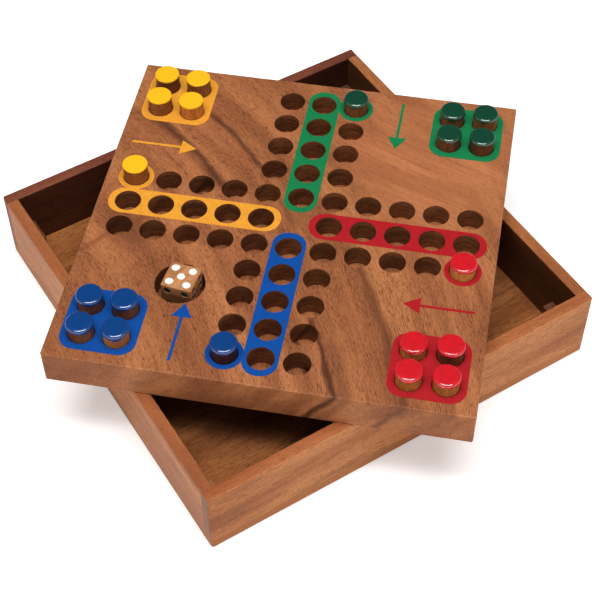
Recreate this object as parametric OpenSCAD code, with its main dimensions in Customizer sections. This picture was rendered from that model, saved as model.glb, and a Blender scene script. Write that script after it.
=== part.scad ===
// Wooden ludo game: a square tray, a loose playing board that drops into it,
// twenty pegs with dipped tops and one die.
// Origin: centre of the tray's underside. +X along the front wall, +Z up.

/* [Tray] */
// Outer width and depth of the tray
tray_w = 217; // [180:1:260]
// Height of the tray from the underside to the rim
tray_h = 41; // [34:0.5:60]
// Thickness of the walls
wall_t = 6.3; // [4:0.1:10]
// Thickness of the bottom panel under the walls
bottom_t = 6; // [3:0.5:10]
// Radius of the tray's upright outer corners
tray_corner_r = 1.8; // [1:0.1:4]
// Radius of the eased edges along the rim and under the bottom panel
tray_edge_r = 0.8; // [0.3:0.1:0.9]
// Thickness of each corner post, measured off the side wall
post_t = 6; // [4:0.5:12]
// Width of each corner post along the side wall
post_w = 14; // [8:1:30]

/* [Board] */
// Gap on each side between the board and the tray's walls when it is put away
board_gap = 1.7; // [0.8:0.1:4]
// Thickness of the playing board
board_t = 19.5; // [16:0.5:26]
// Radius of the board's upright corners
board_corner_r = 1.6; // [1:0.1:8]
// Radius of the eased edges round the board's faces
board_edge_r = 0.8; // [0.3:0.1:0.9]
// Distance from hole to hole along the rows
pitch = 17; // [15.5:0.1:18]
// Depth of the peg holes
hole_depth = 12; // [8:0.5:14]
// Depth of the round well that holds the die
well_depth = 11; // [6:0.5:14]
// Turn of the board on the rim, seen from above
board_turn = -42.3; // [-60:0.1:-30]
// Sideways place of the board's middle
board_x = 1.8; // [-6:0.1:6]
// Front to back place of the board's middle
board_y = -3.4; // [-6:0.1:6]

/* [Print] */
// Thickness of the printed colour
print_t = 0.15; // [0.1:0.01:0.4]
// Width of the printed strip beside the home holes
strip_margin = 1.8; // [0.8:0.1:2.4]
// Length of the strip past its end holes
strip_end = 3.3; // [1:0.1:5]
// Width of the patch outside the base holes
patch_margin = 3.2; // [1:0.1:5]
// Corner radius of the patch and the strips
print_r = 7.8; // [4:0.1:8]
// Width of the ring round the start hole
ring_margin = 2.5; // [0.8:0.1:3.2]
// Width of the arrow's shaft
arrow_w = 1.4; // [0.8:0.1:3]
// Width across the arrow's head
arrow_head_w = 9.8; // [6:0.1:14]
// Length of the arrow's head
arrow_head_l = 8.2; // [5:0.1:14]

/* [Pegs and die] */
// Diameter of the pegs
peg_d = 12.4; // [9:0.1:13]
// Length of the longest pegs
peg_len = 21; // [18:0.5:35]
// Gap between a peg and the wall of its hole
peg_gap = 0.4; // [0.1:0.05:0.8]
// Radius of the rounded top edge of the green, red and blue pegs
round_top_r = 1.3; // [0.5:0.1:2.5]
// Radius of the crisp top edge of the yellow pegs
crisp_top_r = 0.3; // [0.2:0.1:1]
// Bevel at the foot of a peg
peg_foot_bevel = 0.6; // [0.2:0.1:1.5]
// Depth of the thin paint on the tops of the yellow pegs
shallow_dip = 0.7; // [0.4:0.1:4]
// Depth of the thick paint on the tops of the other pegs
deep_dip = 1.8; // [1.5:0.1:6]
// Thickness of the thin paint
thin_paint = 0.15; // [0.1:0.05:0.4]
// Thickness of the thick paint
thick_paint = 0.35; // [0.1:0.05:0.6]
// Edge length of the die
die_w = 15.5; // [12:0.5:18]
// Gap between the die's corners and the wall of its well
die_gap = 1.3; // [0.5:0.1:4]
// Radius of the die's rounded edges
die_r = 0.8; // [0.4:0.1:2.5]
// Diameter of the pips
pip_d = 3.8; // [2:0.1:4]
// Depth of the pips
pip_depth = 0.7; // [0.4:0.1:1]
// Thickness of the paint in the pips
pip_paint = 0.3; // [0.1:0.05:0.4]

/* [Hidden] */
$fn = 64;
cut = 1;                                   // how far a cutting shape runs past a face
inner_w = tray_w - 2 * wall_t;             // clear width between the walls
wall_h = tray_h - bottom_t;
board_w = inner_w - 2 * board_gap;
post_h = tray_h - bottom_t - board_t;      // brings the stored board flush with the rim
post_x = inner_w / 2 - post_t / 2;
post_y = inner_w / 2 - post_w / 2;
hole_d = peg_d + 2 * peg_gap;
well_d = die_w * sqrt(2) + 2 * die_gap;
peg_seat = board_t - hole_depth;           // height of the hole floors in the board
well_seat = board_t - well_depth;
strip_w = hole_d + 2 * strip_margin;
patch_w = pitch + hole_d + 2 * patch_margin;
ring_d = hole_d + 2 * ring_margin;
arm = 5;                                   // holes from the middle to the end of an arm
arrow_tail_step = arm + 0.5;               // arrow's tail, tip and line, in hole spacings
arrow_tip_step = arm - 1.5;
arrow_line_step = 2.43;
well_step = [-2.75, -2.82];                // well's centre, in hole spacings
die_turn = -7.7;                           // the die lies a little turned in its well
die_share = 0.54;                          // and off its middle, as a share of the gap, both ways
pip_share = 0.282;                         // pips off the middle, as a share of the die's edge

COLOURS = ["yellow", "green", "red", "blue"];
PAINT = ["#f6b233", "#109a63", "#cf2336", "#1f63bd"];
DIP = ["#f9cf22", "#2b6553", "#d9283a", "#2263ad"];
TRAY_WOOD = "#c98757";
BOARD_WOOD = "#bb7a50";
PEG_WOOD = "#9a5c35";

// Holes of the first arm in its own frame: the outer end row, both lanes and the home lane
ARM_HOLES = concat(
    [for (i = [1:arm]) [-i, 0]],
    [for (i = [2:arm]) [-i, -1]],
    [for (i = [1:arm]) [-i, 1]]
);
BASE_HOLES = [[-5, 5], [-4, 5], [-5, 4], [-4, 4]];
START_HOLE = [-5, 1];
PEG_PLACES = concat(BASE_HOLES, [START_HOLE]);
PEG_TURN = [12, 75, 150, 230, 310];        // turn of each peg about its own axis
// The pegs are sawn by hand: how much shorter than the longest each is, in hundredths of its length,
// yellow, green, red and blue
SHORT = [
    [0.5, 1.5, 0, 3, 0],
    [0.5, 2, 4.5, 4.5, 3.5],
    [5, 4.5, 2.5, 11, 8.5],
    [3.5, 3.5, 4, 1.5, 1]
];

// Pips on the six faces: the face's turn and its spots, in steps off the middle
FOUR = [[-1, -1], [-1, 1], [1, -1], [1, 1]];
DIE_FACES = [
    [[0, 0, 0], concat(FOUR, [[0, 0]])],
    [[180, 0, 0], [[-1, -1], [1, 1]]],
    [[90, 0, 0], FOUR],
    [[-90, 0, 0], [[-1, 1], [0, 0], [1, -1]]],
    [[0, 90, 0], concat(FOUR, [[0, -1], [0, 1]])],
    [[0, -90, 0], [[0, 0]]]
];

// Plan shapes

module rounded_plan(w, d, r) {
    square([w - 2 * r, d], center = true);
    square([w, d - 2 * r], center = true);
    for (x = [-1, 1]) for (y = [-1, 1])
        translate([x * (w / 2 - r), y * (d / 2 - r)]) circle(r);
}

module plate_profile(w, h, r) {
    translate([0, h / 2]) rounded_plan(w, h, r);
}

// A flat plate with round upright corners and eased edges on both faces
module eased_plate(w, t, corner_r, edge_r) {
    intersection() {
        linear_extrude(t) rounded_plan(w, w, corner_r);
        along_x(w + 2 * cut) plate_profile(w, t, edge_r);
        rotate([0, 0, 90]) along_x(w + 2 * cut) plate_profile(w, t, edge_r);
    }
}

// Draws a Y-Z profile as a bar along X, centred on the origin
module along_x(length) {
    translate([-length / 2, 0, 0]) rotate([90, 0, 90]) linear_extrude(length) children();
}

// Tray

module tray_outside() {
    eased_plate(tray_w, tray_h, tray_corner_r, tray_edge_r);
}

// What easing takes off the rim's inner edge, drawn at the edge with the wood on the right
module rim_easing() {
    difference() {
        translate([-cut, -tray_edge_r]) square(tray_edge_r + cut);
        translate([tray_edge_r, -tray_edge_r]) circle(tray_edge_r);
    }
}

// A wall at the back, turned to its side of the tray
module wall(length, turn) {
    color(TRAY_WOOD) rotate([0, 0, turn]) difference() {
        intersection() {
            translate([0, (tray_w - wall_t) / 2, bottom_t + wall_h / 2])
                cube([length, wall_t, wall_h], center = true);
            tray_outside();
        }
        translate([0, inner_w / 2, tray_h]) along_x(inner_w) rim_easing();
    }
}

module bottom_panel() {
    color(TRAY_WOOD) intersection() {
        translate([0, 0, bottom_t / 2]) cube([tray_w, tray_w, bottom_t], center = true);
        tray_outside();
    }
}

module corner_post(i) {
    x = i == 1 || i == 4 ? -1 : 1;
    y = i < 3 ? -1 : 1;
    color(TRAY_WOOD)
        translate([x * post_x, y * post_y, bottom_t + post_h / 2]) cube([post_t, post_w, post_h], center = true);
}

// Board: everything on it is drawn in the board's own frame and then placed on the rim

module on_board() {
    translate([board_x, board_y, tray_h]) rotate([0, 0, board_turn]) children();
}

module at_hole(place) {
    translate([place[0] * pitch, place[1] * pitch, 0]) children();
}

// Puts the children on all four arms of the cross
module four_arms() {
    for (k = [0:3]) rotate([0, 0, -90 * k]) children();
}

module ludo_board() {
    color(BOARD_WOOD) on_board() difference() {
        eased_plate(board_w, board_t, board_corner_r, board_edge_r);
        four_arms() for (place = concat(ARM_HOLES, BASE_HOLES))
            at_hole(place) translate([0, 0, peg_seat]) cylinder(d = hole_d, h = hole_depth + cut);
        at_hole(well_step) translate([0, 0, well_seat]) cylinder(d = well_d, h = well_depth + cut);
    }
}

module arrow() {
    tail = -arrow_tail_step * pitch;
    tip = -arrow_tip_step * pitch;
    neck = tip - arrow_head_l;
    translate([tail, -arrow_w / 2]) square([neck - tail + arrow_w / 2, arrow_w]);
    polygon([[neck, -arrow_head_w / 2], [tip, 0], [neck, arrow_head_w / 2]]);
}

module home_strip() {
    from = -arm * pitch - hole_d / 2 - strip_end;
    to = -pitch + hole_d / 2 + strip_end;
    translate([(from + to) / 2, 0]) rounded_plan(to - from, strip_w, print_r);
}

module colour_print(k) {
    color(PAINT[k]) on_board() rotate([0, 0, -90 * k]) translate([0, 0, board_t])
        linear_extrude(print_t) difference() {
            union() {
                home_strip();
                translate([START_HOLE[0] * pitch, START_HOLE[1] * pitch]) circle(d = ring_d);
                translate([-4.5 * pitch, 4.5 * pitch]) rounded_plan(patch_w, patch_w, print_r);
                translate([0, arrow_line_step * pitch]) arrow();
            }
            for (place = concat(ARM_HOLES, BASE_HOLES))
                translate([place[0] * pitch, place[1] * pitch]) circle(d = hole_d);
        }
}

// Pegs

// Half outline of a peg, or of its coat of paint when it grows
module peg_outline(length, top_r, grow = 0) {
    r = peg_d / 2 + grow;
    flat_r = peg_d / 2 - top_r;
    square([flat_r, length + grow]);
    translate([0, peg_foot_bevel]) square([r, length - top_r - peg_foot_bevel]);
    polygon([[0, 0], [r - peg_foot_bevel, 0], [r, peg_foot_bevel], [0, peg_foot_bevel]]);
    intersection() {
        translate([flat_r, length - top_r]) circle(top_r + grow);
        square([r, length + grow]);
    }
}

module at_peg(k, i) {
    on_board() rotate([0, 0, -90 * k]) at_hole(PEG_PLACES[i])
        translate([0, 0, peg_seat]) rotate([0, 0, PEG_TURN[i]]) children();
}

function peg_length(k, i) = peg_len * (1 - SHORT[k][i] / 100);
function top_r(k) = k == 0 ? crisp_top_r : round_top_r;

module peg(k, i) {
    color(PEG_WOOD) at_peg(k, i) rotate_extrude() peg_outline(peg_length(k, i), top_r(k));
}

// The paint lies over the top of the dowel and a little way down its side
module cap(k, i) {
    length = peg_length(k, i);
    dip = k == 0 ? shallow_dip : deep_dip;
    color(DIP[k]) at_peg(k, i) rotate_extrude() difference() {
        intersection() {
            peg_outline(length, top_r(k), k == 0 ? thin_paint : thick_paint);
            translate([0, length - dip]) square([peg_d, dip + cut]);
        }
        peg_outline(length, top_r(k));
    }
}

// Die

module at_die() {
    off = die_share * die_gap;
    on_board() at_hole(well_step)
        translate([off, off, well_seat + die_w / 2]) rotate([0, 0, die_turn]) children();
}

module die_bar() {
    linear_extrude(die_w + 2 * cut, center = true) rounded_plan(die_w, die_w, die_r);
}

// Puts the children on every pip, with +Z out of the face and the face at Z = 0
module at_pips() {
    for (face = DIE_FACES) rotate(face[0]) translate([0, 0, die_w / 2])
        for (spot = face[1]) translate([spot[0], spot[1], 0] * pip_share * die_w) children();
}

module die() {
    color("#c8854f") at_die() difference() {
        intersection() {
            die_bar();
            rotate([90, 0, 0]) die_bar();
            rotate([0, 90, 0]) die_bar();
        }
        at_pips() translate([0, 0, -pip_depth]) cylinder(d = pip_d, h = pip_depth + cut);
    }
}

module die_pips() {
    color("white") at_die() at_pips() translate([0, 0, -pip_depth]) cylinder(d = pip_d, h = pip_paint);
}

wall(tray_w, 180);  // front_wall
wall(tray_w, 0);  // back_wall
wall(inner_w, 90);  // left_wall
wall(inner_w, -90);  // right_wall
bottom_panel();
for (i = [1:4]) corner_post(i);
ludo_board();
for (k = [0:3]) colour_print(k);
for (k = [0:3]) for (i = [1:5]) peg(k, i - 1);
for (k = [0:3]) for (i = [1:5]) cap(k, i - 1);
die();
die_pips();
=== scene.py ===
import math
import random

import bpy
from mathutils import Matrix, Vector


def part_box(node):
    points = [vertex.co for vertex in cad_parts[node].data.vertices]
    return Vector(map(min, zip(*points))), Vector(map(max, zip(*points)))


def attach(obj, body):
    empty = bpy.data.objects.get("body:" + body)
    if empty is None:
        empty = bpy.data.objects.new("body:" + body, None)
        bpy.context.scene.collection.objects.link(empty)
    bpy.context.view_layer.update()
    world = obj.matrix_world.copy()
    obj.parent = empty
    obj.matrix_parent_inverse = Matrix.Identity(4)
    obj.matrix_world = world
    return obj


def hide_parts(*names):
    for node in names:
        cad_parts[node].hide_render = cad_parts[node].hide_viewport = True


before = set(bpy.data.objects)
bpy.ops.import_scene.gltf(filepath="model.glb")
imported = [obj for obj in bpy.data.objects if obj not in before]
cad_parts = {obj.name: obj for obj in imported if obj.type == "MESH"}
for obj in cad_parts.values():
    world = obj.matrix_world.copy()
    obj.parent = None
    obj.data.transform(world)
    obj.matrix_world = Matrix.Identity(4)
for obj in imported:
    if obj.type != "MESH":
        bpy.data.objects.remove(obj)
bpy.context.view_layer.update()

MM = 0.001
COLOURS = ("yellow", "green", "red", "blue")

# Place of the board's own frame in the row frame, as the CAD model has it
BOARD_TURN = math.radians(-42.3)
BOARD_X = 1.8 * MM
BOARD_Y = -3.4 * MM
PITCH = 17 * MM

# Camera of the photograph: a long lens that looks down on the near left corner of the tray
CAM_AZIMUTH = math.radians(-31.38)
CAM_ELEVATION = math.radians(50.94)
CAM_ROLL = math.radians(-0.57)
CAM_DISTANCE = 0.751
CAM_TARGET = Vector((3.6 * MM, -4.6 * MM, 0))
CAM_LENS = 85.6
CAM_SENSOR = 36
CAM_CLIP = (0.01, 20)


def srgb(code):
    """A hex colour as linear RGBA."""
    out = []
    for i in (1, 3, 5):
        c = int(code[i:i + 2], 16) / 255
        out.append(c / 12.92 if c <= 0.04045 else ((c + 0.055) / 1.055) ** 2.4)
    return (*out, 1)


def deeper(colour, share):
    """A darker tone of a linear RGBA colour."""
    return tuple(c * share for c in colour[:3]) + (1,)


class Tree:
    """A small helper that adds nodes to a node tree."""

    def __init__(self, tree):
        self.tree = tree

    def add(self, kind, **props):
        node = self.tree.nodes.new(kind)
        for key, value in props.items():
            setattr(node, key, value)
        return node

    def link(self, a, b):
        self.tree.links.new(a, b)

    def fill(self, socket, value):
        """Link value to the socket, or set it there if it is a constant."""
        if hasattr(value, "is_output"):
            self.link(value, socket)
        else:
            socket.default_value = value

    def math(self, operation, *values):
        node = self.add("ShaderNodeMath", operation=operation)
        for socket, value in zip(node.inputs, values):
            self.fill(socket, value)
        return node.outputs[0]

    def split(self, vector):
        node = self.add("ShaderNodeSeparateXYZ")
        self.link(vector, node.inputs[0])
        return node.outputs["X"], node.outputs["Y"], node.outputs["Z"]

    def dot(self, vector, direction):
        node = self.add("ShaderNodeVectorMath", operation="DOT_PRODUCT")
        self.link(vector, node.inputs[0])
        node.inputs[1].default_value = direction
        return node.outputs["Value"]

    def place(self, vector, location=(0, 0, 0), turn=(0, 0, 0), scale=(1, 1, 1)):
        node = self.add("ShaderNodeMapping", vector_type="TEXTURE")
        node.inputs["Location"].default_value = location
        node.inputs["Rotation"].default_value = turn
        node.inputs["Scale"].default_value = scale
        self.link(vector, node.inputs["Vector"])
        return node.outputs[0]

    def noise(self, vector, scale, detail, rough, colour=False):
        node = self.add("ShaderNodeTexNoise")
        self.link(vector, node.inputs["Vector"])
        node.inputs["Scale"].default_value = scale
        node.inputs["Detail"].default_value = detail
        node.inputs["Roughness"].default_value = rough
        return node.outputs["Color" if colour else "Fac"]

    def sized_noise(self, vector, size, detail, rough, shift=(0, 0, 0)):
        """Noise whose features have this size along X, Y and Z, in metres."""
        return self.noise(self.place(vector, shift, scale=size), 1, detail, rough)

    def step(self, value, low, high, to_low=0, to_high=1):
        """A smooth step from to_low, where value is low, to to_high, where it is high."""
        node = self.add("ShaderNodeMapRange", interpolation_type="SMOOTHSTEP")
        self.link(value, node.inputs["Value"])
        node.inputs["From Min"].default_value = low
        node.inputs["From Max"].default_value = high
        node.inputs["To Min"].default_value = to_low
        node.inputs["To Max"].default_value = to_high
        return node.outputs["Result"]

    def mix(self, factor, a, b):
        node = self.add("ShaderNodeMix", data_type="RGBA")
        for index, value in ((0, factor), (6, a), (7, b)):
            self.fill(node.inputs[index], value)
        return node.outputs[2]

    def offset(self, vector, other, amount):
        """vector + (other - 0.5) * amount, for bending a pattern."""
        centred = self.add("ShaderNodeVectorMath", operation="SUBTRACT")
        self.link(other, centred.inputs[0])
        centred.inputs[1].default_value = (0.5, 0.5, 0.5)
        scaled = self.add("ShaderNodeVectorMath", operation="MULTIPLY")
        self.link(centred.outputs[0], scaled.inputs[0])
        scaled.inputs[1].default_value = amount
        total = self.add("ShaderNodeVectorMath", operation="ADD")
        self.link(vector, total.inputs[0])
        self.link(scaled.outputs[0], total.inputs[1])
        return total.outputs[0]

    def bump(self, height, strength, distance):
        node = self.add("ShaderNodeBump")
        node.inputs["Strength"].default_value = strength
        node.inputs["Distance"].default_value = distance
        self.link(height, node.inputs["Height"])
        return node.outputs[0]


class Nodes(Tree):
    """The node tree of a new material."""

    def __init__(self, name):
        self.mat = bpy.data.materials.new(name)
        self.mat.use_nodes = True
        super().__init__(self.mat.node_tree)
        self.tree.nodes.clear()
        self.out = self.add("ShaderNodeOutputMaterial")
        self.bsdf = self.add("ShaderNodeBsdfPrincipled")
        self.link(self.bsdf.outputs[0], self.out.inputs["Surface"])

    def coords(self):
        return self.add("ShaderNodeTexCoord").outputs["Object"]

    def normal(self):
        return self.add("ShaderNodeNewGeometry").outputs["Normal"]

    def set(self, name, value):
        self.fill(self.bsdf.inputs[name], value)


# Slow drift that bends the grain: waves per metre and reach in metres
DRIFT_SCALE = 9
DRIFT_REACH = (0, 0.014, 0.014)
# Features of the wood, as their size along the grain and across it in metres
BAND_SIZE = (0.15, 0.017, 0.026)
LINE_SIZE = (0.05, 0.0024, 0.0034)
FIBRE_SIZE = (0.007, 0.0005, 0.0005)
PORE_SIZE = (0.0034, 0.0004, 0.0004)
CROWD_SIZE = (0.03, 0.006, 0.006)        # crowds of pores
GRIT_SIZE = (0.0021, 0.00045, 0.00045)   # the finest unevenness
# Noise values between which each feature sets in, and its shares there where they aren't 0 and 1
BAND_STEP = (0.39, 0.58)
STREAK_STEP = (0.54, 0.74)
LINE_STEP = (0.5, 0.7)
FIBRE_STEP = (0.35, 0.75)
GRIT_DARK_STEP = (0.46, 0.74, 0, 0.4)
GRIT_LIGHT_STEP = (0.26, 0.48, 0.3, 0)
LINE_SHARE = (0.45, 0.1)                 # with each unit of streak, and without any
FIBRE_SHARE = 0.42
# A pore begins where its noise passes a limit, and the limit is lower where pores crowd
PORE_LIMIT_STEP = (0.35, 0.7, 0.68, 0.59)
PORE_EDGE = 0.045
FIBRE_HEIGHT = 0.4                       # against the depth of a pore


def grit(n, grain):
    return n.sized_noise(grain, GRIT_SIZE, 1, 0.6)


def wood_figure(n, grain, tones, streak, pores, seed):
    """Colour and height of open-pored wood whose grain runs along the X axis of grain, in metres."""
    light, mid, dark = (srgb(tone) for tone in tones)
    drift = n.noise(grain, DRIFT_SCALE, 1, 0.5, colour=True)
    bent = n.offset(grain, drift, DRIFT_REACH)
    band = n.sized_noise(bent, BAND_SIZE, 3, 0.55, (seed, seed, 0))
    line = n.sized_noise(bent, LINE_SIZE, 3, 0.62, (0, seed, seed))
    fibre = n.sized_noise(bent, FIBRE_SIZE, 2, 0.6)
    line_share = LINE_SHARE[0] * streak + LINE_SHARE[1]
    colour = n.mix(n.step(band, *BAND_STEP), light, mid)
    colour = n.mix(n.math("MULTIPLY", n.step(band, *STREAK_STEP), streak), colour, dark)
    colour = n.mix(n.math("MULTIPLY", n.step(line, *LINE_STEP), line_share), colour, dark)
    colour = n.mix(n.math("MULTIPLY", n.step(fibre, *FIBRE_STEP), FIBRE_SHARE), colour, dark)
    dash = n.sized_noise(bent, PORE_SIZE, 1, 0.5, (seed, 0, 0))
    crowd = n.sized_noise(bent, CROWD_SIZE, 2, 0.5, (0, 0, seed))
    limit = n.step(crowd, *PORE_LIMIT_STEP)
    pore = n.step(n.math("SUBTRACT", dash, limit), 0, PORE_EDGE)
    colour = n.mix(n.math("MULTIPLY", pore, pores), colour, dark)
    fine = grit(n, grain)
    colour = n.mix(n.step(fine, *GRIT_DARK_STEP), colour, dark)
    colour = n.mix(n.step(fine, *GRIT_LIGHT_STEP), colour, light)
    height = n.math("SUBTRACT", n.math("MULTIPLY", fibre, FIBRE_HEIGHT), pore)
    return colour, height


def finish_wood(n, colour, height, rough=0.5, coat=0.02):
    """Oiled wood with hardly any gloss."""
    n.set("Base Color", colour)
    n.set("Roughness", rough)
    n.set("Specular IOR Level", 0.1)
    n.set("Coat Weight", coat)
    n.set("Coat Roughness", 0.35)
    n.set("Normal", n.bump(height, strength=0.35, distance=0.3 * MM))
    return n.mat


def face_share(n, facing):
    """How far a surface faces along facing, from 0 to 1."""
    return n.step(n.dot(n.normal(), facing), 0.5, 0.9)


def wood(name, turn, tones, streak, pores, seed, rough=0.5, coat=0.02, tints=()):
    """Plain wood; each tint is a direction, a colour and how strongly faces that way take it."""
    n = Nodes(name)
    grain = n.place(n.coords(), turn=turn)
    colour, height = wood_figure(n, grain, tones, streak, pores, seed)
    for facing, tint, strength in tints:
        colour = n.mix(n.math("MULTIPLY", face_share(n, facing), strength), colour, srgb(tint))
    return finish_wood(n, colour, height, rough, coat)


# The board's grain runs down to the right and grows steeper on the way. In hole spacings from the board's
# middle, with u to the right and v towards the viewer, along = (u + v) / sqrt(2) runs with the grain and
# across = (v - u) / sqrt(2) - BEND_1 * along - BEND_2 * along^2 stays the same along one growth ring.
BEND_1 = 0.175
BEND_2 = 0.02565
RING_SLANT = 0.69        # sideways run of the growth rings with the depth below the board's top
BOARD_TOP = 60.5 * MM

BOARD_TONES = ("#be794c", "#a3633e", "#4a2717")
BOARD_STREAK = 0.32
BOARD_PORES = 0.85
BOARD_SEED = 0.83

# Dark heart streaks of the board: across, half width, first and last along, strength
BOARD_STREAKS = (
    (1.18, 0.26, -7.0, -1.6, 0.85),
    (-0.22, 0.17, -6.0, -1.8, 0.8),
    (0.02, 0.22, -2.4, 0.6, 0.5),
    (-1.1, 0.26, 1.2, 7.6, 0.62),
    (0.84, 0.17, 2.6, 7.0, 0.95),
    (0.5, 0.3, 3.6, 7.6, 0.4),
    (-2.16, 0.4, -2.6, 0.8, 0.45),
    (4.3, 0.8, -4.2, -1.4, 0.45),
)
STREAK_TONE = "#4c2a1c"
STREAK_FADE = 0.9                        # length over which a streak begins and ends
STREAK_WANDER = 0.5                      # how far streaks wander sideways
WANDER_SIZE = (0.03, 0.012, 0.02)

# Reddish line that crosses the grain near the left edge
CROSS_TONE = "#7a3f28"
CROSS_AT = 64.8 * MM                     # its northing less its easting in the board's own frame
CROSS_WANDER = 8 * MM
CROSS_WIDTH = 4 * MM
CROSS_SHARE = 0.55
CROSS_END = (-76 * MM, -64 * MM)         # easting over which it fades out

# Calm pale field at the far right
CALM_TONES = ("#c17a4f", "#ac6943", "#7f4628")
CALM_EAST = 62 * MM
CALM_NORTH = 55 * MM
CALM_FADE = (30 * MM, 85 * MM)
CALM_SHARE = 0.85
CALM_TURN = math.radians(-24)            # direction of its grain
CALM_DRIFT_SCALE = 11
CALM_DRIFT_REACH = (0, 0.016, 0)
CALM_LINE_SIZE = (0.045, 0.0011, 0.01)
CALM_BROAD_SIZE = (0.08, 0.012, 0.02)
CALM_PORE_SIZE = (0.003, 0.0004, 0.0004)

# Painted shade on the walls of the holes and of the well, uneven in streaks like the drill's marks
HOLE_SHADE_TONE = "#1d0d06"
HOLE_SHADE_STRENGTH = 0.45
BOARD_INSIDE = (98 * MM, 99 * MM)        # reach of the holes, short of the board's edge
UPRIGHT_STEP = (0.3, 0.7, 1, 0)          # a wall, by how far its normal points up or down
SHADE_STREAK_SIZE = (0.009, 0.009, 0.0011)
SHADE_STREAK_STEP = (0.38, 0.62, 0.62, 1.35)


def board_grain(n):
    """The board's grain in metres, its along and across in hole spacings, and the board's own frame."""
    local = n.place(n.coords(), (BOARD_X, BOARD_Y, 0), (0, 0, BOARD_TURN))
    x, y, z = n.split(local)
    u = n.math("DIVIDE", x, PITCH * math.sqrt(2))
    v = n.math("DIVIDE", y, -PITCH * math.sqrt(2))
    along = n.math("ADD", u, v)
    bend = n.math("MULTIPLY", along, n.math("MULTIPLY_ADD", along, BEND_2, BEND_1))
    across = n.math("SUBTRACT", n.math("SUBTRACT", v, u), bend)
    depth = n.math("SUBTRACT", BOARD_TOP, z)
    across = n.math("MULTIPLY_ADD", depth, -RING_SLANT / PITCH, across)
    joined = n.add("ShaderNodeCombineXYZ")
    n.link(n.math("MULTIPLY", along, PITCH), joined.inputs["X"])
    n.link(n.math("MULTIPLY", across, PITCH), joined.inputs["Y"])
    n.link(depth, joined.inputs["Z"])
    return joined.outputs[0], along, across, local


def heart_streaks(n, colour, along, across, wander):
    shift = n.math("SUBTRACT", across, STREAK_WANDER / 2)
    across = n.math("MULTIPLY_ADD", wander, STREAK_WANDER, shift)
    for centre, half, first, last, strength in BOARD_STREAKS:
        off = n.math("ABSOLUTE", n.math("SUBTRACT", across, centre))
        inside = n.step(off, 0, half, strength, 0)
        start = n.step(along, first, first + STREAK_FADE)
        end = n.step(along, last - STREAK_FADE, last, 1, 0)
        share = n.math("MULTIPLY", n.math("MULTIPLY", inside, start), end)
        colour = n.mix(share, colour, srgb(STREAK_TONE))
    return colour


def cross_line(n, colour, east, north, wander):
    slant = n.math("SUBTRACT", n.math("SUBTRACT", north, east), CROSS_AT)
    shift = n.math("SUBTRACT", slant, CROSS_WANDER / 2)
    slant = n.math("ABSOLUTE", n.math("MULTIPLY_ADD", wander, CROSS_WANDER, shift))
    share = n.math("MULTIPLY", n.step(slant, 0, CROSS_WIDTH, CROSS_SHARE, 0), n.step(east, *CROSS_END, 1, 0))
    return n.mix(share, colour, srgb(CROSS_TONE))


def calm_field(n, colour, local, east, north):
    light, mid, dark = (srgb(tone) for tone in CALM_TONES)
    drift = n.noise(local, CALM_DRIFT_SCALE, 1, 0.5, colour=True)
    level = n.place(n.offset(local, drift, CALM_DRIFT_REACH), turn=(0, 0, CALM_TURN))
    lines = n.sized_noise(level, CALM_LINE_SIZE, 3, 0.65)
    broad = n.sized_noise(level, CALM_BROAD_SIZE, 2, 0.5)
    dash = n.sized_noise(level, CALM_PORE_SIZE, 1, 0.5)
    calm = n.mix(n.step(broad, 0.35, 0.65), light, mid)
    calm = n.mix(n.step(lines, 0.42, 0.72, 0, 0.5), calm, dark)
    calm = n.mix(n.step(dash, 0.62, 0.68, 0, 0.5), calm, srgb(BOARD_TONES[2]))
    reach = n.math("ADD", n.math("ABSOLUTE", n.math("SUBTRACT", east, CALM_EAST)),
                   n.math("ABSOLUTE", n.math("SUBTRACT", north, CALM_NORTH)))
    return n.mix(n.step(reach, *CALM_FADE, CALM_SHARE, 0), colour, calm)


def shade_holes(n, colour, local, east, north):
    """The colour with painted shade on the walls of the holes and the well, uneven in streaks like the
    drill's marks.
    """
    side = n.math("MAXIMUM", n.math("ABSOLUTE", east), n.math("ABSOLUTE", north))
    _, _, up = n.split(n.normal())
    upright = n.step(n.math("ABSOLUTE", up), *UPRIGHT_STEP)
    wall = n.math("MULTIPLY", n.step(side, *BOARD_INSIDE, HOLE_SHADE_STRENGTH, 0), upright)
    shade_streaks = n.sized_noise(local, SHADE_STREAK_SIZE, 2, 0.6)
    wall = n.math("MULTIPLY", wall, n.step(shade_streaks, *SHADE_STREAK_STEP))
    return n.mix(wall, colour, srgb(HOLE_SHADE_TONE))


def board_wood():
    """The playing board: curved diagonal figure with dark heart streaks, and painted shade in its holes."""
    n = Nodes("board_wood")
    grain, along, across, local = board_grain(n)
    colour, height = wood_figure(n, grain, BOARD_TONES, BOARD_STREAK, BOARD_PORES, BOARD_SEED)
    wander = n.sized_noise(grain, WANDER_SIZE, 3, 0.6)
    east, north, _ = n.split(local)
    colour = heart_streaks(n, colour, along, across, wander)
    colour = cross_line(n, colour, east, north, wander)
    colour = calm_field(n, colour, local, east, north)
    colour = shade_holes(n, colour, local, east, north)
    return finish_wood(n, colour, height)


PRINT_COLOURS = {"yellow": "#eda034", "green": "#167e4a", "red": "#b11a22", "blue": "#064b9c"}
PRINT_PORE_SIZE = (0.004, 0.0005, 0.0005)
PRINT_CLOUD_SCALE = 260
PRINT_DEEPER = 0.6


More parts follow.
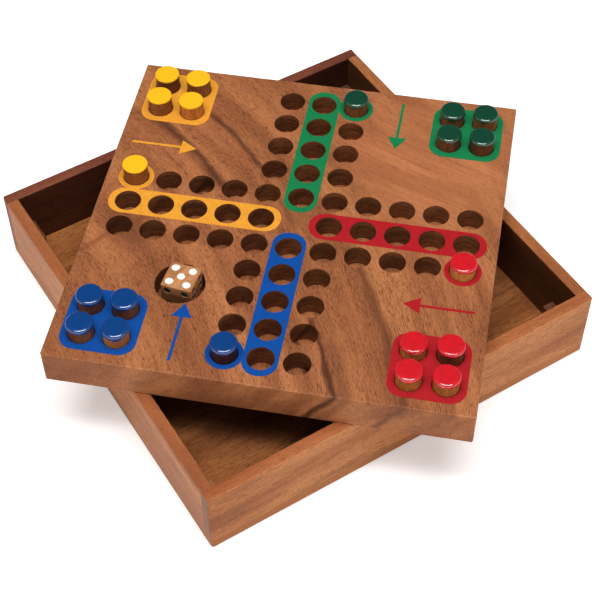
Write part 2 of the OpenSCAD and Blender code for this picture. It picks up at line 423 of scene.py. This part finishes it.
def print_paint(name, colour):
    """Matt printed colour in which the wood's pores show a little."""
    n = Nodes(name)
    grain, _, _, local = board_grain(n)
    dash = n.sized_noise(grain, PRINT_PORE_SIZE, 1, 0.5)
    cloud = n.noise(local, PRINT_CLOUD_SCALE, 3, 0.6)
    base = srgb(colour)
    deep = deeper(base, PRINT_DEEPER)
    tint = n.mix(n.math("MULTIPLY", n.step(dash, 0.6, 0.68), 0.4), base, deep)
    tint = n.mix(n.math("MULTIPLY", n.step(cloud, 0.3, 0.8), 0.2), tint, deep)
    tint = n.mix(n.step(grit(n, grain), 0.4, 0.75, 0, 0.35), tint, deep)
    n.set("Base Color", tint)
    n.set("Roughness", 0.6)
    n.set("Specular IOR Level", 0.12)
    n.set("Normal", n.bump(n.math("SUBTRACT", 1, dash), strength=0.2, distance=0.2 * MM))
    return n.mat


# Coat of the dipped paint: weight, index of refraction and roughness, and how cloudy the colour is
GLOSSY_COAT = (0.42, 2.4, 0.03, 1)
SATIN_COAT = (0.1, 1.4, 0.35, 0.4)
DIP_CLOUD_SCALE = 420
DIP_WAVE_SCALE = 230
PIP_CLOUD_SCALE = 900
PAINT_DEEPER = 0.85


def dip_paint(name, colour, gloss):
    """Paint on the peg tops: thick and glossy, or thinner and satin."""
    n = Nodes(name)
    coords = n.coords()
    weight, ior, rough, cloudy = GLOSSY_COAT if gloss else SATIN_COAT
    base = srgb(colour)
    cloud = n.step(n.noise(coords, DIP_CLOUD_SCALE, 3, 0.6), 0.35, 0.75, 0, cloudy)
    n.set("Base Color", n.mix(cloud, base, deeper(base, PAINT_DEEPER)))
    n.set("Roughness", 0.5)
    n.set("Specular IOR Level", 0.1)
    n.set("Coat Weight", weight)
    n.set("Coat IOR", ior)
    n.set("Coat Roughness", rough)
    n.set("Normal", n.bump(n.noise(coords, DIP_WAVE_SCALE, 1, 0.4), strength=0.12, distance=0.5 * MM))
    return n.mat


def pip_paint(name, colour, rough):
    n = Nodes(name)
    base = srgb(colour)
    cloud = n.step(n.noise(n.coords(), PIP_CLOUD_SCALE, 2, 0.5), 0.4, 0.8)
    n.set("Base Color", n.mix(cloud, base, deeper(base, PAINT_DEEPER)))
    n.set("Roughness", rough)
    return n.mat


def assign(obj, *materials):
    obj.data.materials.clear()
    for material in materials:
        obj.data.materials.append(material)


def mesh_object(name, verts, faces):
    mesh = bpy.data.meshes.new(name)
    mesh.from_pydata(verts, [], faces)
    mesh.polygons.foreach_set("use_smooth", [True] * len(faces))
    mesh.update()
    obj = bpy.data.objects.new(name, mesh)
    bpy.context.scene.collection.objects.link(obj)
    return obj


def ring_faces(start, rings, sides):
    """Faces of a closed shell of rings, with the middle of its top and then of its underside after them."""
    faces = []
    for i in range(rings - 1):
        low, high = start + i * sides, start + (i + 1) * sides
        for j in range(sides):
            k = (j + 1) % sides
            faces.append((low + j, low + k, high + k, high + j))
    last = start + (rings - 1) * sides
    top, under = last + sides, last + sides + 1
    for j in range(sides):
        k = (j + 1) % sides
        faces.append((last + j, last + k, top))
        faces.append((start + k, start + j, under))
    return faces


ALONG_X = (0, 0, 0)
ALONG_Y = (0, 0, math.radians(90))
UPRIGHT = (0, math.radians(90), 0)
WEST, EAST = (-1, 0, 0), (1, 0, 0)
SOUTH, NORTH = (0, -1, 0), (0, 1, 0)
UP = (0, 0, 1)
# Painted shade for the inner faces of the tray, which lie in the shadow of the board
PAINTED_INNER_SHADE = "#1c0c06"                   # inner faces of the tray
PANEL_EDGE_TONE = "#c8804a"
TRAY_PORES = 0.55
# Woods of the tray: run of the grain, three tones, strength of the streaks, seed, tints of faces by
# direction, where the tints of the inner faces are painted shade
TRAY_WOODS = {
    "front_wall": (ALONG_X, ("#d38b54", "#b97041", "#643621"), 0.85, 0.11,
                   ((NORTH, PAINTED_INNER_SHADE, 0.6), (UP, "#8c4427", 0.5), (WEST, "#86604b", 0.65))),
    "back_wall": (ALONG_X, ("#9c5a3c", "#7c4330", "#38190f"), 0.6, 0.52,
                  ((SOUTH, PAINTED_INNER_SHADE, 0.72), (UP, "#6e3c30", 0.3))),
    "left_wall": (ALONG_Y, ("#d28c57", "#bb7446", "#70402a"), 0.65, 0.73,
                  ((EAST, PAINTED_INNER_SHADE, 0.6), (UP, "#8d4d2d", 0.5))),
    "right_wall": (ALONG_Y, ("#c07a4a", "#a46238", "#532c19"), 0.5, 0.29,
                   ((WEST, PAINTED_INNER_SHADE, 0.75), (UP, "#9b5c38", 0.3))),
    "bottom_panel": (ALONG_X, ("#b2703f", "#96582f", "#452512"), 0.55, 0.87,
                     ((SOUTH, PANEL_EDGE_TONE, 0.5), (WEST, PANEL_EDGE_TONE, 0.5))),
    # as pale as the floor of the tray behind it
    "corner_post_1": (ALONG_X, ("#c98a58", "#b0703f", "#63381f"), 0.3, 0.2, ()),
}
# Painted shade: the posts in the other three corners are darkened as if they lay in shadow, so that their
# slivers between the walls hardly show
POST_SHADE_TONES = ("#7c5138", "#6a432c", "#3e2517")
for post in (2, 3, 4):
    TRAY_WOODS[f"corner_post_{post}"] = (ALONG_X, POST_SHADE_TONES, 0.3, 0.2 * post, ())


def dress_tray():
    for node, (turn, tones, streak, seed, tints) in TRAY_WOODS.items():
        assign(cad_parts[node], wood(node, turn, tones, streak, TRAY_PORES, seed, tints=tints))


def dress_board():
    assign(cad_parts["ludo_board"], board_wood())
    for name, colour in PRINT_COLOURS.items():
        assign(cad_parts[f"print_{name}"], print_paint(f"print_{name}", colour))


# Three tones of the palest and of the darkest peg
PALE_PEG = ("#e0984f", "#c97a36", "#7d4320")
DARK_PEG = ("#552a1c", "#371911", "#180906")
# How dark each peg's wood is, from 0 for the palest to 1 for the darkest
PEG_TONES = {
    "yellow": (0.68, 0.55, 0.45, 0.0, 0.3),
    "green": (0.5, 0.8, 0.65, 0.8, 0.6),
    "red": (0.2, 0.15, 0.7, 0.2, 0.05),
    "blue": (0.62, 0.65, 0.3, 0.75, 1.0),
}
PEG_STREAK = 0.6
PEG_PORES = 0.7
PEG_ROUGH = 0.45
PEG_COAT = 0.1
DIP_COLOURS = {"yellow": "#fbbc1e", "green": "#0f4430", "red": "#d41724", "blue": "#063f80"}
# Lowest and highest reach of the paint down the side of a peg
DIP_REACH = {
    "yellow": (0.25 * MM, 1.5 * MM),
    "green": (1.3 * MM, 2.8 * MM),
    "red": (1.1 * MM, 2.4 * MM),
    "blue": (1.3 * MM, 3.0 * MM),
}
# Drops that hang from the paint's edge: angle round the peg, length and half width as an angle
DRIPS = {
    "blue_cap_3": (math.radians(-119), 1.5 * MM, 0.42),
    "red_cap_2": (math.radians(-128), 0.5 * MM, 0.5),
}
DRIP_POINT = 1.3                         # above 1, a drop runs out to a point
GLOSSY_EDGE = 1.5 * MM                   # rounding of the paint at the top of a peg
SATIN_EDGE = 0.3 * MM
CAP_SIDES = 72
CAP_ARC = 7                              # steps round that edge
CAP_CLEAR = 0.01 * MM                    # how far the paint stays inside its CAD shell
CAP_THICK = 0.45 * MM
CAP_LIP = 0.12 * MM
CAP_WAVES = (1, 2, 3, 5, 8)              # waves of the paint's edge round a peg


def blend_hex(a, b, t):
    pairs = ((int(a[i:i + 2], 16), int(b[i:i + 2], 16)) for i in (1, 3, 5))
    return "#" + "".join(f"{round(x * (1 - t) + y * t):02x}" for x, y in pairs)


def peg_wood(name, tone, seed):
    tones = tuple(blend_hex(pale, dark, tone) for pale, dark in zip(PALE_PEG, DARK_PEG))
    return wood(name, UPRIGHT, tones, PEG_STREAK, PEG_PORES, seed, PEG_ROUGH, PEG_COAT)


def drip(node, angle):
    """How much further down the paint reaches at this angle where a drop hangs."""
    if node not in DRIPS:
        return 0
    middle, length, half = DRIPS[node]
    off = abs(math.remainder(angle - middle, 2 * math.pi)) / half
    return length * (1 - off) ** DRIP_POINT if off < 1 else 0


def cap_outline(outer, edge_r):
    """Outline of the paint from the inside of its lower lip, out, up, round the edge and in to the middle.

    Each point has its radius, its height and whether it follows the uneven lower edge."""
    inner = outer - CAP_THICK
    outline = [
        (inner, -edge_r - CAP_LIP, False),
        (inner, 0, True),
        (outer - CAP_LIP, 0, True),
        (outer - 0.3 * CAP_LIP, 0.3 * CAP_LIP, True),
        (outer, CAP_LIP, True),
        (outer, -edge_r, False),
    ]
    for i in range(1, CAP_ARC + 1):
        a = i / CAP_ARC * math.pi / 2
        outline.append((outer - edge_r * (1 - math.cos(a)), -edge_r * (1 - math.sin(a)), False))
    flat = outer - edge_r
    return outline + [(0.6 * flat, 0, False), (0.25 * flat, 0, False)]


def coat_of_paint(name, node, edge_r, reach, rng):
    """The paint on a peg's top, with the uneven lower edge that dipping leaves."""
    low, high = (Vector(corner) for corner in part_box(node))
    cx, cy, top = (low.x + high.x) / 2, (low.y + high.y) / 2, high.z
    waves = [(k, rng.uniform(0.3, 1) / k ** 0.7, rng.uniform(0, 2 * math.pi)) for k in CAP_WAVES]
    total = sum(weight for _, weight, _ in waves)
    outline = cap_outline((high.x - low.x) / 2 - CAP_CLEAR, edge_r)
    verts = []
    for radius, height, follow in outline:
        for j in range(CAP_SIDES):
            a = 2 * math.pi * j / CAP_SIDES
            swing = sum(weight * math.sin(k * a + phase) for k, weight, phase in waves) / total
            edge = -(reach[0] + (reach[1] - reach[0]) * (0.5 + 0.5 * swing)) - drip(node, a)
            z = top + (edge + height if follow else height)
            verts.append((cx + radius * math.cos(a), cy + radius * math.sin(a), z))
    verts += [(cx, cy, top), (cx, cy, top - edge_r - CAP_LIP)]
    return mesh_object(name, verts, ring_faces(0, len(outline), CAP_SIDES))


def dress_pegs():
    rng = random.Random(20)
    for colour in COLOURS:
        gloss = colour != "yellow"
        edge_r = GLOSSY_EDGE if gloss else SATIN_EDGE
        paint = dip_paint(f"{colour}_dip", DIP_COLOURS[colour], gloss)
        for i in range(1, 6):
            peg = f"{colour}_peg_{i}"
            cap = f"{colour}_cap_{i}"
            assign(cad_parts[peg], peg_wood(peg, PEG_TONES[colour][i - 1], 0.13 * i))
            coat = coat_of_paint(f"{cap}_paint", cap, edge_r, DIP_REACH[colour], rng)
            assign(coat, paint)
            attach(coat, peg)
            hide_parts(cap)


DIE_EDGE = 15.5 * MM
DIE_TURN = BOARD_TURN + math.radians(-7.7)
DIE_FRONT = (math.sin(DIE_TURN), -math.cos(DIE_TURN), 0)
DIE_GRAIN = (0, 0, 0.4)
DIE_TONES = ("#cc8f5f", "#b4764b", "#7c4a2c")
DIE_STREAK = 0.25
DIE_PORES = 0.5
DIE_SEED = 0.61
# Painted shade on the die's face towards the viewer, which lies in the shadow of its well
DIE_FRONT_SHADE = ((DIE_FRONT, "#5c3016", 0.45),)
# Paints of the pips: colour, roughness and depth of the paint's edge under the face
PIP_PAINTS = {
    "white": ("#f7f4ee", 0.35, 0),
    "green": ("#0d3529", 0.25, 0.45 * MM),
    "blue": ("#17385c", 0.25, 0.45 * MM),
}
PIP_OFF = 0.282 * DIE_EDGE
PIP_R = 1.9 * MM
PIP_SIDES = 28
# Rings of a spot from its hidden edge to its dished middle: share of the radius and height in mm
PIP_RINGS = ((1.04, -0.3), (1.04, 0.0), (0.97, 0.035), (0.8, 0.02), (0.5, -0.05), (0.2, -0.12))
PIP_MIDDLE = -0.14 * MM
PIP_UNDER = -0.3 * MM
FOUR_PIPS = ((-1, -1), (-1, 1), (1, -1), (1, 1))
# Turn of each face about X and about Y in degrees, its pips and their paint
DIE_FACES = (
    (0, 0, FOUR_PIPS + ((0, 0),), "white"),
    (180, 0, ((-1, -1), (1, 1)), "white"),
    (90, 0, FOUR_PIPS, "green"),
    (-90, 0, ((-1, 1), (0, 0), (1, -1)), "green"),
    (0, 90, FOUR_PIPS + ((0, -1), (0, 1)), "blue"),
    (0, -90, ((0, 0),), "blue"),
)


def pip_blob(verts, faces, place, level, rng):
    """One spot of paint: a dished disc with a slightly uneven edge."""
    skew = rng.uniform(0.97, 1.08)
    phase = rng.uniform(0, 6.3)
    start = len(verts)
    for share, height in PIP_RINGS:
        for j in range(PIP_SIDES):
            a = 2 * math.pi * j / PIP_SIDES
            uneven = 1 + 0.03 * math.sin(2 * a + phase) + 0.015 * math.sin(3 * a - phase)
            r = PIP_R * share * uneven
            verts.append(place @ Vector((r * skew * math.cos(a), r * math.sin(a), level + height * MM)))
    verts.append(place @ Vector((0, 0, level + PIP_MIDDLE)))
    verts.append(place @ Vector((0, 0, level + PIP_UNDER)))
    faces += ring_faces(start, len(PIP_RINGS), PIP_SIDES)


def dress_die():
    die = wood("die", DIE_GRAIN, DIE_TONES, DIE_STREAK, DIE_PORES, DIE_SEED, tints=DIE_FRONT_SHADE)
    assign(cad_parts["die"], die)
    low, high = (Vector(corner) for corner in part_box("die"))
    centre = Matrix.Translation((low + high) / 2) @ Matrix.Rotation(DIE_TURN, 4, "Z")
    rng = random.Random(7)
    verts, faces, index = [], [], []
    for about_x, about_y, spots, paint in DIE_FACES:
        turn_x = Matrix.Rotation(math.radians(about_x), 4, "X")
        turn_y = Matrix.Rotation(math.radians(about_y), 4, "Y")
        face = centre @ turn_y @ turn_x
        level = DIE_EDGE / 2 - PIP_PAINTS[paint][2]
        for x, y in spots:
            before = len(faces)
            pip_blob(verts, faces, face @ Matrix.Translation((x * PIP_OFF, y * PIP_OFF, 0)), level, rng)
            index += [list(PIP_PAINTS).index(paint)] * (len(faces) - before)
    pips = mesh_object("die_pip_paint", [tuple(v) for v in verts], faces)
    assign(pips, *(pip_paint(f"pip_{name}", *look[:2]) for name, look in PIP_PAINTS.items()))
    # assign resets the indices, so they are set after it
    pips.data.polygons.foreach_set("material_index", index)
    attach(pips, "die")
    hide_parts("die_pips")


FLOOR_HALF = 1
FLOOR_COLOUR = (0.88, 0.88, 0.88, 1)
FLOOR_GLOW = 0.4
GLOW_FADE = (0.35, 0.8)          # distances from the middle between which the floor turns wholly white
WHITE = (1, 1, 1, 1)


def studio_floor():
    """Pale floor that keeps the object's shadow."""
    n = Nodes("floor")
    n.set("Base Color", FLOOR_COLOUR)
    n.set("Roughness", 0.9)
    n.set("Specular IOR Level", 0.1)
    path = n.add("ShaderNodeLightPath")
    seen = n.math("MAXIMUM", path.outputs["Is Camera Ray"], path.outputs["Is Glossy Ray"])
    seen = n.math("MAXIMUM", seen, path.outputs["Is Transmission Ray"])
    away = n.add("ShaderNodeVectorMath", operation="LENGTH")
    n.link(n.coords(), away.inputs[0])
    far = n.math("MULTIPLY", n.step(away.outputs["Value"], *GLOW_FADE), path.outputs["Is Camera Ray"])
    glow = n.add("ShaderNodeEmission")
    glow.inputs["Color"].default_value = WHITE
    n.link(n.math("MULTIPLY_ADD", seen, FLOOR_GLOW, far), glow.inputs["Strength"])
    total = n.add("ShaderNodeAddShader")
    n.link(n.bsdf.outputs[0], total.inputs[0])
    n.link(glow.outputs[0], total.inputs[1])
    n.link(total.outputs[0], n.out.inputs["Surface"])
    corners = [(x * FLOOR_HALF, y * FLOOR_HALF, 0) for x, y in ((-1, -1), (1, -1), (1, 1), (-1, 1))]
    floor = mesh_object("floor", corners, [(0, 1, 2, 3)])
    assign(floor, n.mat)


# Strength of the surroundings low down and high up, and the sines of elevation between which they fade
WORLD_LOW = 1.75
WORLD_HIGH = 0.14
WORLD_FADE = (0.12, 0.4)
# Share of it that is left on the side away from the photograph's camera, and how wide that fade is
WORLD_BACK = 0.2
WORLD_SIDE = 0.35


def surroundings():
    """Light that comes mostly from low down, as round a white table; the camera sees white."""
    world = bpy.data.worlds.new("studio")
    world.use_nodes = True
    t = Tree(world.node_tree)
    back = world.node_tree.nodes["Background"]
    back.inputs["Color"].default_value = WHITE
    coords = t.add("ShaderNodeTexCoord").outputs["Generated"]
    _, _, up = t.split(coords)
    by_height = t.step(up, *WORLD_FADE, WORLD_LOW, WORLD_HIGH)
    ahead = t.dot(coords, (math.sin(CAM_AZIMUTH), -math.cos(CAM_AZIMUTH), 0))
    by_side = t.step(ahead, -WORLD_SIDE, WORLD_SIDE, WORLD_BACK, 1)
    light = t.math("MULTIPLY", by_height, by_side)
    path = t.add("ShaderNodeLightPath")
    t.link(t.math("MAXIMUM", light, path.outputs["Is Camera Ray"]), back.inputs["Strength"])
    bpy.context.scene.world = world


def direction(azimuth, elevation):
    """Unit vector towards a place seen at these angles; azimuth 0 is the front."""
    level = math.cos(elevation)
    return Vector((math.sin(azimuth) * level, -math.cos(azimuth) * level, math.sin(elevation)))


LAMP_AZIMUTH = math.radians(-31)
LAMP_DISTANCE = 1.2
LAMP_TARGET = Vector((0, 0, 0.05))


def lamp(name, elevation, size, power, diffuse=True, glossy=True):
    """A rectangular lamp on the camera's side, at an elevation in degrees."""
    data = bpy.data.lights.new(name, "AREA")
    data.shape = "RECTANGLE"
    data.size, data.size_y = size
    data.energy = power
    obj = bpy.data.objects.new(name, data)
    back = direction(LAMP_AZIMUTH, math.radians(elevation))
    obj.location = LAMP_TARGET + LAMP_DISTANCE * back
    obj.rotation_euler = back.to_track_quat("Z", "Y").to_euler()
    obj.visible_diffuse = diffuse
    obj.visible_glossy = glossy
    bpy.context.scene.collection.objects.link(obj)


def lights():
    """Two lamps for diffuse light, and one that only makes the highlights on the paint."""
    lamp("overhead_softbox", 87, (1.0, 1.0), 12.5, glossy=False)
    lamp("overhead_strip", 76, (1.2, 0.08), 5, glossy=False)
    lamp("highlight_panel", 69, (1.1, 0.5), 20, diffuse=False)


def camera():
    data = bpy.data.cameras.new("photo_camera")
    data.sensor_width = CAM_SENSOR
    data.lens = CAM_LENS
    data.clip_start, data.clip_end = CAM_CLIP
    obj = bpy.data.objects.new("photo_camera", data)
    back = direction(CAM_AZIMUTH, CAM_ELEVATION)
    level = Vector((math.cos(CAM_AZIMUTH), math.sin(CAM_AZIMUTH), 0))
    rise = back.cross(level)
    right = math.cos(CAM_ROLL) * level + math.sin(CAM_ROLL) * rise
    up = -math.sin(CAM_ROLL) * level + math.cos(CAM_ROLL) * rise
    place = Matrix((right, up, back)).transposed().to_4x4()
    place.translation = CAM_TARGET + CAM_DISTANCE * back
    obj.matrix_world = place
    bpy.context.scene.collection.objects.link(obj)
    bpy.context.scene.camera = obj


camera()
studio_floor()
surroundings()
lights()
dress_tray()
dress_board()
dress_pegs()
dress_die()
bpy.context.scene.view_settings.view_transform = "Standard"
